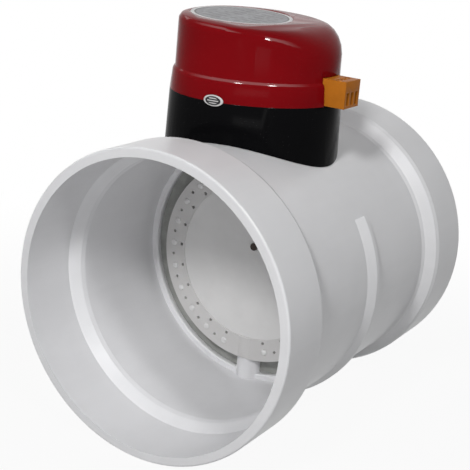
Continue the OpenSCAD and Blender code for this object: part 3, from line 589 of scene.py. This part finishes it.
def makeSeal(look):
    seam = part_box("actuator_cover")[0].z
    spot, normal = frontAt(shells["actuator_cover"], look["x"] * mm, seam + look["aboveSeam"] * mm)
    half = (look["width"] * mm / 2, look["height"] * mm / 2)
    selectNone()
    bpy.ops.mesh.primitive_uv_sphere_add(segments=look["segments"], ring_count=look["rings"], radius=1,
                                         location=(0, 0, 0))
    piece = bpy.context.object
    piece.name = "seamSeal"
    piece.scale = (half[0], look["thick"] * mm, half[1])
    bpy.ops.object.transform_apply(location=False, rotation=False, scale=True)
    wrap = piece.modifiers.new("wrap", "SIMPLE_DEFORM")
    wrap.deform_method = "BEND"
    wrap.deform_axis = "Z"
    wrap.angle = look["width"] / look["bend"]
    bpy.ops.object.modifier_apply(modifier="wrap")
    piece.rotation_euler = (0, 0, math.atan2(normal.x, -normal.y))
    piece.location = spot + normal * look["sunk"] * mm
    bpy.ops.object.transform_apply(location=True, rotation=True, scale=True)
    bpy.ops.object.shade_smooth_by_angle(angle=math.radians(look["smooth"]))
    piece.data.materials.append(sealFinish(sealLook, spot, half).material)
    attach(piece, "housing")


makeSeal(seal)
print("seal placed")


# light, floor and camera: places in mm, but sizes and reaches of floor and lamps in metres

# near the object the floor shows the camera a little less than white, and it is white past the fade
studio = {"middle": (0, 109), "floorHeight": -85.6, "floorSize": 30, "floorColour": (0.4, 0.4, 0.4),
          "show": 0.94, "fade": (0.15, 0.45), "air": (0.96, 0.98, 1), "airStrength": 0.06,
          "lampAim": (0, 109, 20), "lampReach": 1.3}
white = (1, 1, 1, 1)


def makeFloor(look):
    selectNone()
    centre = Vector((*look["middle"], look["floorHeight"])) * mm
    bpy.ops.mesh.primitive_plane_add(size=look["floorSize"], location=centre)
    floor = bpy.context.object
    floor.name = "studioFloor"
    material = bpy.data.materials.new("paleFloor")
    material.use_nodes = True
    pale = Nodes(material.node_tree)
    pale.tree.nodes.remove(pale.tree.nodes["Principled BSDF"])
    dull = pale.add("BsdfDiffuse", values={"Color": (*look["floorColour"], 1)})
    glow = pale.add("Emission", values={"Color": white, "Strength": 1})
    far = pale.add("VectorMath", {"operation": "LENGTH"}, {0: pale.add("TexCoord", out="Object")}, "Value")
    show = pale.fade(far, *look["fade"], look["show"], 1)
    pale.surface(pale.backdrop(dull, glow, show), "Material Output")
    floor.data.materials.append(material)


def makeWorld(look):
    world = bpy.data.worlds.new("studioAir")
    world.use_nodes = True
    sky = Nodes(world.node_tree)
    sky.tree.nodes.remove(sky.tree.nodes["Background"])
    air = sky.add("Background", values={"Color": (*look["air"], 1), "Strength": look["airStrength"]})
    blank = sky.add("Background", values={"Color": white, "Strength": 1})
    sky.surface(sky.backdrop(air, blank), "World Output")
    bpy.context.scene.world = world


def awayFrom(azimuth, elevation):
    # the direction from the object; azimuths run from the inlet's side towards the terminals
    around, above = math.radians(azimuth), math.radians(elevation)
    level = math.cos(above)
    return Vector((math.sin(around) * level, -math.cos(around) * level, math.sin(above)))


lamps = {
    "leftKey": {"azimuth": 9, "elevation": 39, "width": 0.16, "height": 0.2, "power": 7.8},
    "rightKey": {"azimuth": 54, "elevation": 44, "width": 0.14, "height": 0.2, "power": 4.0},
    "mouthFill": {"azimuth": 28, "elevation": -2, "width": 0.9, "height": 0.3, "power": 3.0},
    "backFill": {"azimuth": 255, "elevation": 32, "width": 0.4, "height": 0.4, "power": 3.2},
}


def makeLamps(rows, aim, reach):
    for name, look in rows.items():
        lamp = bpy.data.lights.new(name, "AREA")
        lamp.shape = "RECTANGLE"
        lamp.size = look["width"]
        lamp.size_y = look["height"]
        lamp.energy = look["power"]
        holder = bpy.data.objects.new(name, lamp)
        away = awayFrom(look["azimuth"], look["elevation"])
        holder.location = Vector(aim) * mm + away * reach
        holder.rotation_euler = away.to_track_quat("Z", "Y").to_euler()
        bpy.context.scene.collection.objects.link(holder)


# the camera fitted to the photograph, whose centre and focal length are in its pixels
view = {"azimuth": 29.67, "elevation": 18.86, "roll": 5.03, "aim": (0, 109, 0), "distance": 680.6655,
        "focalPixels": 1147.5, "centrePixels": (254.86, 261.40), "imagePixels": 470, "sensor": 36,
        "near": 0.01, "far": 20}


def makeCamera(look):
    back = awayFrom(look["azimuth"], look["elevation"])
    around = math.radians(look["azimuth"])
    right = Vector((math.cos(around), math.sin(around), 0))
    up = back.cross(right)
    roll = math.radians(look["roll"])
    across = right * math.cos(roll) + up * math.sin(roll)
    upward = up * math.cos(roll) - right * math.sin(roll)
    data = bpy.data.cameras.new("photoCamera")
    data.sensor_width = look["sensor"]
    data.lens = look["focalPixels"] * look["sensor"] / look["imagePixels"]
    data.shift_x = 0.5 - look["centrePixels"][0] / look["imagePixels"]
    data.shift_y = look["centrePixels"][1] / look["imagePixels"] - 0.5
    data.clip_start = look["near"]
    data.clip_end = look["far"]
    camera = bpy.data.objects.new("photoCamera", data)
    bpy.context.scene.collection.objects.link(camera)
    eye = (Vector(look["aim"]) + back * look["distance"]) * mm
    turn = Matrix((across, upward, back)).transposed()
    camera.matrix_world = Matrix.Translation(eye) @ turn.to_4x4()
    bpy.context.scene.camera = camera


makeFloor(studio)
makeWorld(studio)
makeLamps(lamps, studio["lampAim"], studio["lampReach"])
makeCamera(view)
bpy.context.scene.view_settings.view_transform = "Standard"
print("light, floor and camera placed")
